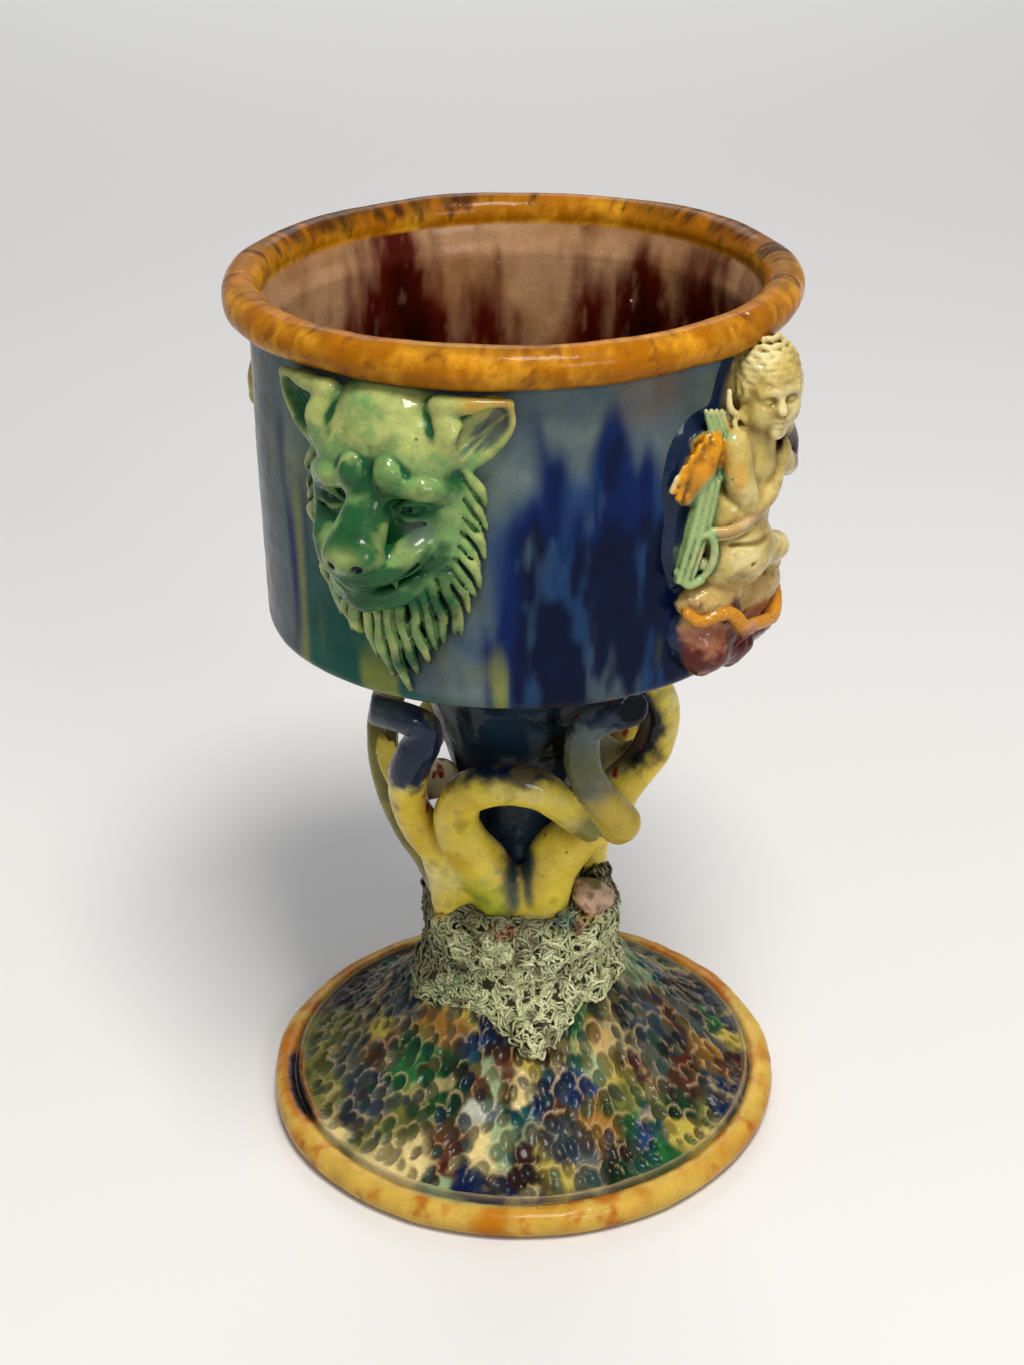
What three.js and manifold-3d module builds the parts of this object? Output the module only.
import * as THREE from 'three';
import { mergeVertices } from 'three/addons/utils/BufferGeometryUtils.js';
import Module from 'manifold-3d';

const wasm = await Module();
wasm.setup();

// A footed cup of tin-glazed clay, put together from thrown, moulded and hand-rolled parts.
// Lengths are in millimetres and angles in degrees. The axis is +Z and the foot stands on z = 0.
// An azimuth of 0 is the front, towards -Y, and it grows towards +X.

// What is left between two clay parts that touch
const clayGap = 0.3;

// Foot: a thrown cone, hollow below, with a plain rolled band round its edge
const footRadius = 50.5;
const footHeight = 36;
const footWall = 5;
const bandWidth = 4.5;
const bandHeight = 5.6;
const ridgeHeight = 1.4;
const ridgeWidth = 1.6;
const coneHeight = 29;
const neckRadius = 14;
const baseRingWidth = 6;
const baseInset = 1.5;

// Stem: a core that opens like a funnel under the cup
const stemHeight = 70.4;
const coreFootRadius = 7;
const coreWaistRadius = 9.3;
const coreTopRadius = 26;

// Branches: rolled clay ropes that stand round the core as an open basket
const ropeRadius = 3.3;
const rootRadius = 4.8;
const basketClearance = 1;

// Moss: a collar of sieved clay over the joint between stem and foot
const mossBottom = 28;
const mossHeight = 19;
const mossRadius = 19.4;
const stoneRadius = 3.6;
const stoneAzimuth = 81;

// Cup: a thrown cylinder with a rolled rim
const cupRadius = 44.8;
const cupHeight = 63;
const cupWall = 3.8;
const cupFloor = 5;
const cupCorner = 1.6;
const rollRadius = 3.4;
const rollOverhang = 4.5;

// Moulded reliefs on the cup's wall
const reliefEdge = 1.2;
const reliefSwell = 0.75;
const reliefBuried = 1.6;
const reliefEasing = 1.2;
const wolfAzimuths = { wolf_mask_front: 0, wolf_mask_back: 180 };
const cherubAzimuths = { cherub_right: 80, cherub_left: 263 };

// How finely round forms are cut
const turnSteps = 48;
const coreSteps = 32;
const mossSteps = 24;
const ropeSides = 8;
const reliefStep = 2.3;

const stemBottom = footHeight + clayGap;
const stemTop = stemBottom + stemHeight;
const cupBottom = stemTop + clayGap;
const basketRadius = coreTopRadius + basketClearance;
const reliefUnit = cupHeight / 100;

const glazes = {
  amber: { color: 0xb9781f, roughness: 0.2 },
  slate: { color: 0x3c4c58, roughness: 0.2 },
  green: { color: 0x6da56c, roughness: 0.2 },
  cream: { color: 0xc9b768, roughness: 0.25 },
  yellow: { color: 0xcdb148, roughness: 0.2 },
  mottled: { color: 0x5c5a44, roughness: 0.2 },
  moss: { color: 0x8d9274, roughness: 0.55 },
  rosy: { color: 0xa98069, roughness: 0.45 },
};

const object = new THREE.Group();

function addPart(name, solid, glaze) {
  const mesh = solid.getMesh();
  const geometry = new THREE.BufferGeometry();
  geometry.setAttribute('position', new THREE.BufferAttribute(mesh.vertProperties, 3));
  geometry.setIndex(new THREE.BufferAttribute(mesh.triVerts, 1));
  const material = new THREE.MeshStandardMaterial({ ...glazes[glaze], metalness: 0 });
  const part = new THREE.Mesh(geometry, material);
  part.name = name;
  object.add(part);
}

// A closed geometry as a solid, with its shared points merged and flat slivers dropped
function toSolid(geometry) {
  geometry.deleteAttribute('normal');
  geometry.deleteAttribute('uv');
  const merged = mergeVertices(geometry, 1e-4);
  const index = merged.index.array;
  const kept = [];
  for (let i = 0; i < index.length; i += 3) {
    const [a, b, c] = index.slice(i, i + 3);
    if (a !== b && b !== c && c !== a) kept.push(a, b, c);
  }
  return new wasm.Manifold(new wasm.Mesh({
    numProp: 3,
    vertProperties: merged.attributes.position.array,
    triVerts: new Uint32Array(kept),
  }));
}

// The solid less its neighbours, without the crumbs that the cut leaves
function carve(solid, neighbours) {
  const cut = neighbours.reduce((rest, neighbour) => rest.subtract(neighbour), solid);
  const pieces = cut.decompose();
  return pieces.reduce((best, piece) => (piece.volume() > best.volume() ? piece : best));
}

// A profile of [radius, height] points turned about the axis
function turned(profile, steps = turnSteps) {
  const points = profile.map(([radius, height]) => new THREE.Vector2(Math.max(radius, 0), height));
  const geometry = new THREE.LatheGeometry(points, steps);
  geometry.rotateX(Math.PI / 2);
  return toSolid(geometry);
}

// Points on an arc of a profile, from one angle to another, in degrees
function arc([radius, height], size, from, to, steps) {
  return Array.from({ length: steps + 1 }, (_, i) => {
    const angle = THREE.MathUtils.degToRad(from + ((to - from) * i) / steps);
    return [radius + size * Math.cos(angle), height + size * Math.sin(angle)];
  });
}

// A place given by its distance from the axis, azimuth and height
function place(radius, azimuth, height) {
  const angle = THREE.MathUtils.degToRad(azimuth);
  return new THREE.Vector3(radius * Math.sin(angle), -radius * Math.cos(angle), height);
}

// The foot's upper surface, from the band (share 0) to the moss (share 1)
function coneSurface(share) {
  const outer = footRadius - bandWidth - ridgeWidth;
  const radius = outer + (mossRadius - outer) * share;
  return [radius, bandHeight + (coneHeight - bandHeight) * share ** 1.3];
}

function makeFoot(extra = 0) {
  const shares = [0, 0.25, 0.5, 0.75, 1];
  const cone = shares.map(coneSurface).map(([radius, height]) => [radius + extra, height + extra]);
  const bandRadius = bandHeight / 2;
  const ridge = footRadius - bandWidth;
  const outside = [
    [footRadius - baseInset + extra, 0],
    ...arc([footRadius - bandRadius, bandRadius], bandRadius + extra, -30, 100, 4),
    [ridge, bandHeight + extra],
    [ridge - ridgeWidth / 2, bandHeight + ridgeHeight + extra],
    ...cone,
    [neckRadius + extra, footHeight - footWall / 2],
    [neckRadius + extra, footHeight + extra],
    [0, footHeight + extra],
  ];
  const ringInner = footRadius - baseInset - baseRingWidth;
  const inside = [
    [0, coneHeight - footWall],
    ...[0.75, 0.5, 0.25].map(coneSurface).map(([radius, height]) => [radius, height - footWall]),
    [ringInner, 0],
  ];
  return turned([...(extra ? [[0, 0]] : inside), ...outside]);
}

function makeCore(extra = 0) {
  const rise = (share) => stemBottom + stemHeight * share;
  return turned([
    [0, stemBottom - extra],
    [coreFootRadius + extra, stemBottom - extra],
    [coreWaistRadius + extra, rise(0.34)],
    [THREE.MathUtils.lerp(coreWaistRadius, coreTopRadius, 0.13) + extra, rise(0.48)],
    [THREE.MathUtils.lerp(coreWaistRadius, coreTopRadius, 0.3) + extra, rise(0.645)],
    [THREE.MathUtils.lerp(coreWaistRadius, coreTopRadius, 0.52) + extra, rise(0.8)],
    [THREE.MathUtils.lerp(coreWaistRadius, coreTopRadius, 0.78) + extra, rise(0.93)],
    [coreTopRadius + extra, stemTop],
    [0, stemTop],
  ], coreSteps);
}

// The outside of the cup, without its hollow
function cupOutline(extra = 0) {
  const roll = [cupRadius + rollOverhang - rollRadius, cupHeight - rollRadius];
  const lean = Math.asin((cupRadius + extra - roll[0]) / (rollRadius + extra));
  const rollStart = -90 + THREE.MathUtils.radToDeg(lean);
  return {
    roll,
    points: [
      ...arc([cupRadius - cupCorner, cupCorner], cupCorner + extra, -90, 0, 3),
      ...arc(roll, rollRadius + extra, rollStart, 90, 7),
    ].map(([radius, height]) => [radius, cupBottom + height]),
  };
}

function makeCup() {
  const { roll, points } = cupOutline();
  const inner = cupRadius - cupWall;
  const floor = cupBottom + cupFloor;
  const lip = arc(roll, rollRadius, 120, 200, 3).map(([radius, height]) => [radius, cupBottom + height]);
  return turned([
    [0, cupBottom],
    ...points,
    ...lip,
    [inner, cupBottom + cupHeight - 3 * rollRadius],
    [inner, floor + cupWall],
    [inner - cupWall, floor],
    [0, floor],
  ]);
}

function makeCupBlank(extra) {
  const { points } = cupOutline(extra);
  return turned([[0, cupBottom - extra], ...points, [0, cupBottom + cupHeight + extra]]);
}

// A rolled rope of clay through [basket share, azimuth, stem share] points,
// with a thickness for each point
function rope({ path, sizes, turn = 0, extra = 0 }) {
  const points = path.map(([reach, azimuth, rise]) => place(
    basketRadius * reach,
    azimuth + turn,
    stemBottom + stemHeight * rise,
  ));
  const curve = new THREE.CatmullRomCurve3(points, false, 'centripetal');
  const steps = (points.length - 1) * 2;
  const frames = curve.computeFrenetFrames(steps, false);
  const positions = [];
  const sizeAt = (share) => {
    const spot = share * (sizes.length - 1);
    const low = Math.min(Math.floor(spot), sizes.length - 2);
    return THREE.MathUtils.lerp(sizes[low], sizes[low + 1], spot - low);
  };
  for (let i = 0; i <= steps; i += 1) {
    const centre = curve.getPoint(i / steps);
    const side = frames.normals[i];
    const across = frames.binormals[i];
    for (let j = 0; j < ropeSides; j += 1) {
      const angle = (2 * Math.PI * j) / ropeSides;
      const size = sizeAt(i / steps) + extra;
      const point = centre.clone()
        .addScaledVector(side, size * Math.cos(angle))
        .addScaledVector(across, size * Math.sin(angle));
      positions.push(point);
    }
  }
  const first = positions.length;
  const outward = frames.tangents;
  positions.push(curve.getPoint(0).addScaledVector(outward[0], -extra));
  positions.push(curve.getPoint(1).addScaledVector(outward[steps], extra));
  const index = [];
  for (let j = 0; j < ropeSides; j += 1) {
    const next = (j + 1) % ropeSides;
    for (let i = 0; i < steps; i += 1) {
      const low = i * ropeSides;
      const high = low + ropeSides;
      index.push(low + j, low + next, high + next, low + j, high + next, high + j);
    }
    const last = steps * ropeSides;
    index.push(first, next, j, first + 1, last + j, last + next);
  }
  return toSolid(surface(positions, index));
}

function surface(points, index) {
  const geometry = new THREE.BufferGeometry();
  geometry.setAttribute('position', new THREE.Float32BufferAttribute(points.flatMap((p) => p.toArray()), 3));
  geometry.setIndex(index);
  return geometry;
}

// One swelling of a relief: its middle, half sizes, height over the wall and lean in degrees
const swell = (middle, half, high, lean = 0) => ({ middle, half, high, lean });

function swellHeight({ middle, half, high, lean }, across, up) {
  const angle = THREE.MathUtils.degToRad(lean);
  const dx = across / reliefUnit - middle[0];
  const dy = up / reliefUnit - middle[1];
  const along = (dx * Math.cos(angle) + dy * Math.sin(angle)) / half[0];
  const beside = (dy * Math.cos(angle) - dx * Math.sin(angle)) / half[1];
  return reliefUnit * high * Math.max(0, 1 - along ** 2 - beside ** 2) ** reliefSwell;
}

// The higher of two heights, eased where they meet
function eased(a, b) {
  const near = Math.max(reliefEasing - Math.abs(a - b), 0) / reliefEasing;
  return Math.max(a, b) + (near * near * reliefEasing) / 4;
}

// A rectangular block whose top follows a height, flat below, over a grid of [across, up] places
function reliefBlock(low, high, height) {
  const columns = Math.ceil((high.x - low.x) / reliefStep);
  const rows = Math.ceil((high.y - low.y) / reliefStep);
  const points = [];
  for (let row = 0; row <= rows; row += 1) {
    for (let column = 0; column <= columns; column += 1) {
      const across = THREE.MathUtils.lerp(low.x, high.x, column / columns);
      const up = THREE.MathUtils.lerp(low.y, high.y, row / rows);
      points.push(new THREE.Vector3(across, up, height(across, up)));
      points.push(new THREE.Vector3(across, up, -reliefBuried));
    }
  }
  const top = (column, row) => 2 * (row * (columns + 1) + column);
  const index = [];
  const quad = (a, b, c, d) => index.push(a, b, c, a, c, d);
  for (let row = 0; row < rows; row += 1) {
    for (let column = 0; column < columns; column += 1) {
      const corners = [top(column, row), top(column + 1, row), top(column + 1, row + 1), top(column, row + 1)];
      quad(...corners);
      quad(...corners.reverse().map((corner) => corner + 1));
    }
  }
  const side = (from, to) => quad(from + 1, to + 1, to, from);
  for (let column = 0; column < columns; column += 1) {
    side(top(column, 0), top(column + 1, 0));
    side(top(column + 1, rows), top(column, rows));
  }
  for (let row = 0; row < rows; row += 1) {
    side(top(columns, row), top(columns, row + 1));
    side(top(0, row + 1), top(0, row));
  }
  return toSolid(surface(points, index));
}

// A relief pressed in a mould, bent round the cup's wall. Its outline and swellings are in
// hundredths of the cup's height, [across, up] from the cup's bottom edge below its middle.
function relief({ outline, swells, hollows }, azimuth) {
  const corners = outline.map(([across, up]) => new THREE.Vector3(across, up, 0).multiplyScalar(reliefUnit));
  const border = new THREE.CatmullRomCurve3(corners, true, 'centripetal');
  const borderSteps = Math.round(border.getLength() / (1.5 * reliefStep));
  const edge = border.getSpacedPoints(borderSteps).slice(1).map(({ x, y }) => new THREE.Vector2(x, y));
  const height = (across, up) => {
    const raised = swells.reduce((sum, form) => eased(sum, swellHeight(form, across, up)), reliefEdge);
    return hollows.reduce((sum, form) => sum - swellHeight(form, across, up), raised);
  };
  const bounds = new THREE.Box2().setFromPoints(edge).expandByScalar(reliefStep / 2);
  const block = reliefBlock(bounds.min, bounds.max, height);
  const cutter = new THREE.ExtrudeGeometry(new THREE.Shape(edge), { depth: cupRadius, bevelEnabled: false });
  cutter.translate(0, 0, -2 * reliefBuried);
  const flat = block.intersect(toSolid(cutter));
  const bent = flat.warp((spot) => {
    const [across, up, out] = spot;
    const turn = THREE.MathUtils.radToDeg(across / cupRadius);
    place(cupRadius + out, azimuth + turn, cupBottom + up).toArray(spot);
  });
  return carve(bent, [makeCupBlank(clayGap)]);
}

const wolf = {
  outline: [
    [2.4, 87.9], [-7.9, 88.3], [-15.9, 87], [-23.2, 88.6], [-30.2, 88.3], [-29.5, 81], [-21.4, 71.4],
    [-19.7, 64.3], [-21.9, 55.6], [-22.9, 44.4], [-21, 34.1], [-17.1, 24.6], [-11.7, 16.8],
    [-4.8, 11.1], [1.3, 6.3], [6, 4.1], [10.2, 7.9], [14.9, 15.1], [19.7, 21.4], [24.1, 30.2],
    [26.8, 38.1], [27.9, 49.2], [27.9, 58.7], [26.8, 65.1], [29.2, 72.2], [34.9, 81], [34, 87.9],
    [25.1, 88.6], [17.5, 87], [9.5, 88.3],
  ],
  swells: [
    swell([3.2, 50.8], [28.6, 42.9], 8.9),
    swell([3.5, 73], [20.6, 17.5], 12.7),
    swell([-5.7, 66], [9.5, 6], 14.3, -8),
    swell([13, 66], [10.5, 6], 14.3, 8),
    swell([2.7, 57.1], [7.3, 14.3], 20.6),
    swell([2.4, 48.3], [7, 7.9], 25.7),
    swell([2.7, 44.4], [11.7, 10.5], 21.9),
    swell([3.5, 34], [10.2, 7.9], 17.5),
    swell([-11.7, 47.6], [10.2, 13.7], 12.1),
    swell([17.5, 47.6], [10.2, 13.7], 12.1),
    swell([-21.3, 81], [13.7, 7.3], 11.7, -32),
    swell([26, 81], [13.7, 7.3], 11.7, 32),
    swell([5.4, 20.6], [14.3, 19], 9.5),
  ],
  hollows: [
    swell([-24.1, 81.6], [7.3, 3.5], 6.3, -38),
    swell([28.6, 81], [7.3, 3.5], 6.3, 38),
    swell([-8.3, 59.4], [5.4, 2.5], 3.2),
    swell([12.7, 59.4], [5.7, 2.5], 3.2),
  ],
};

const cherub = {
  outline: [
    [3.2, 93.7], [-5.4, 88.9], [-8.6, 81], [-9.8, 75.6], [-15.1, 78.4], [-22.2, 68.3], [-26.3, 57.1],
    [-25.1, 50.8], [-23.8, 41.3], [-23.2, 31.7], [-23.8, 22.2], [-22.5, 12.7], [-18.3, 5.7],
    [-12.7, 2.2], [-3.2, 2.2], [6.3, 4.1], [15.9, 9.5], [22.2, 17.5], [28.6, 25.4], [29.5, 32.7],
    [23.8, 39], [22.9, 46], [26, 54], [27.3, 61.9], [22.2, 71.4], [15.6, 75.6], [14.3, 81],
    [12.7, 87.9], [8.9, 92.7],
  ],
  swells: [
    swell([3.2, 81], [10.5, 13.7], 17.1),
    swell([-1.6, 58.7], [15.2, 14.3], 12.7),
    swell([-4.8, 34.9], [13.7, 12.1], 15.6),
    swell([11.7, 32.7], [9.5, 10.5], 14.3),
    swell([23.8, 29.5], [7.9, 7], 9.5),
    swell([-6.7, 57.1], [5.7, 12.7], 16.2, -6),
    swell([16.8, 55.6], [6.3, 12.1], 13.3, 6),
    swell([6.3, 54], [9.5, 6.3], 14.9),
    swell([-1.6, 14.9], [24.8, 16.8], 10.2),
    swell([-1.6, 21.3], [22.2, 3.5], 12.4, -6),
    swell([-18.4, 64.4], [7, 14.3], 5.7, -20),
    swell([22.2, 60.3], [5.1, 12.7], 5.1, 16),
    swell([-17.1, 47.6], [4.4, 20.6], 7, -14),
    swell([-11.1, 71.4], [6, 6.3], 7.6),
  ],
  hollows: [],
};

const branches = {
  front_arch: {
    path: [
      [0.3, 14, 0.06], [0.35, 9, 0.16], [0.46, -3, 0.286], [0.62, -11.5, 0.395], [0.7, -10, 0.485],
      [0.74, -1, 0.568], [0.75, 11.5, 0.607], [0.74, 24.5, 0.615], [0.74, 37.5, 0.597],
      [0.78, 48, 0.557], [0.83, 55, 0.516], [0.86, 60.5, 0.482],
    ],
    sizes: [rootRadius, rootRadius, 1.25 * ropeRadius, 1.15 * ropeRadius, 1.1 * ropeRadius, ropeRadius, 0.75 * ropeRadius],
    glaze: 'yellow',
  },
  right_rising_branch: {
    path: [
      [0.3, 58, 0.06], [0.36, 54, 0.17], [0.45, 58, 0.3], [0.55, 67.5, 0.374], [0.64, 77.5, 0.42],
      [0.73, 84.5, 0.477], [0.81, 89, 0.536], [0.89, 94, 0.581], [0.96, 98.5, 0.625],
      [1, 100.5, 0.69], [1, 100, 0.75], [0.96, 97, 0.81], [0.88, 95, 0.87],
    ],
    sizes: [rootRadius, rootRadius, 1.3 * ropeRadius, ropeRadius, ropeRadius, ropeRadius],
    glaze: 'yellow',
  },
  left_curled_branch: {
    path: [
      [0.5, -36, 0.12], [0.57, -33, 0.24], [0.64, -32, 0.325], [0.75, -35, 0.395],
      [0.86, -32.5, 0.497], [0.92, -26.5, 0.598], [0.93, -21, 0.672], [0.91, -17, 0.722],
      [0.92, -15.5, 0.77], [1, -18.5, 0.797], [1.07, -25.5, 0.805], [1.1, -33, 0.8],
    ],
    sizes: [1.3 * ropeRadius, 1.1 * ropeRadius, ropeRadius, ropeRadius, 0.85 * ropeRadius, 0.75 * ropeRadius],
    glaze: 'yellow',
  },
  front_hook: {
    path: [
      [1.2, 65.5, 0.871], [1.06, 64.5, 0.839], [0.96, 61, 0.812], [0.89, 58, 0.775],
      [0.87, 56.5, 0.715], [0.87, 58, 0.655], [0.89, 62.5, 0.589], [0.92, 68, 0.531],
      [0.94, 73.5, 0.48],
    ],
    sizes: [0.85 * ropeRadius, 0.9 * ropeRadius, 0.9 * ropeRadius, 0.9 * ropeRadius, 1.1 * ropeRadius],
    glaze: 'slate',
  },
  left_rising_branch: {
    path: [
      [0.54, -58, 0.15], [0.64, -60, 0.24], [0.8, -62, 0.34], [0.9, -65, 0.44], [0.96, -69, 0.54],
      [0.96, -75, 0.64], [0.88, -80, 0.75], [0.78, -84, 0.84],
    ],
    sizes: [0.9 * ropeRadius, 0.9 * ropeRadius, 0.8 * ropeRadius],
    glaze: 'cream',
  },
  left_outer_branch: {
    path: [
      [0.88, -52, 0.87], [0.94, -58, 0.78], [0.98, -60, 0.69], [0.97, -58, 0.6], [0.88, -55, 0.535],
      [0.76, -53, 0.5], [0.66, -47, 0.505], [0.6, -36, 0.54],
    ],
    sizes: [0.9 * ropeRadius, 0.9 * ropeRadius, 0.9 * ropeRadius, ropeRadius, ropeRadius],
    glaze: 'yellow',
  },
};

// The branches at the back are those at the front, half a turn on
const twins = {
  front_arch: 'back_arch',
  left_curled_branch: 'right_curled_branch',
  front_hook: 'back_hook',
  left_outer_branch: 'right_outer_branch',
};

const foot = makeFoot();
const footClear = makeFoot(clayGap);
const coreClear = makeCore(clayGap);

addPart('foot', foot, 'mottled');
addPart('stem_core', makeCore(), 'slate');
addPart('cup_bowl', makeCup(), 'amber');

// Each rope is cut clear of what was laid before it
const laid = [footClear, coreClear, makeCupBlank(clayGap)];
for (const [name, branch] of Object.entries(branches)) {
  const turns = { [name]: 0, ...(twins[name] && { [twins[name]]: 180 }) };
  for (const [ropeName, turn] of Object.entries(turns)) {
    addPart(ropeName, carve(rope({ ...branch, turn }), laid), branch.glaze);
    laid.push(rope({ ...branch, turn, extra: clayGap }));
  }
}

// The stone sits in the moss, so the moss is cut clear of it
const stoneShape = (extra) => {
  const geometry = new THREE.IcosahedronGeometry(stoneRadius + extra, 1);
  geometry.scale(1.3, 1, 0.9);
  geometry.rotateZ(THREE.MathUtils.degToRad(85));
  const height = mossBottom + mossHeight + 0.7 * stoneRadius;
  geometry.translate(...place(mossRadius - stoneRadius / 2, stoneAzimuth, height));
  return toSolid(geometry);
};
const mossShare = (reach, rise) => [mossRadius * reach, mossBottom + mossHeight * rise];
const mossRing = turned([
  mossShare(0.4, 0.3),
  mossShare(0.96, 0),
  mossShare(1.03, 0.12),
  mossShare(0.97, 0.3),
  mossShare(0.96, 0.45),
  mossShare(1, 0.65),
  mossShare(0.95, 0.85),
  mossShare(0.82, 1),
  mossShare(0.45, 0.94),
  mossShare(0.4, 0.3),
], mossSteps);
addPart('moss_stone', carve(stoneShape(0), laid), 'rosy');
addPart('moss_collar', carve(mossRing, [...laid, stoneShape(clayGap)]), 'moss');

for (const [name, azimuth] of Object.entries(wolfAzimuths)) addPart(name, relief(wolf, azimuth), 'green');
for (const [name, azimuth] of Object.entries(cherubAzimuths)) addPart(name, relief(cherub, azimuth), 'cream');

export default object;
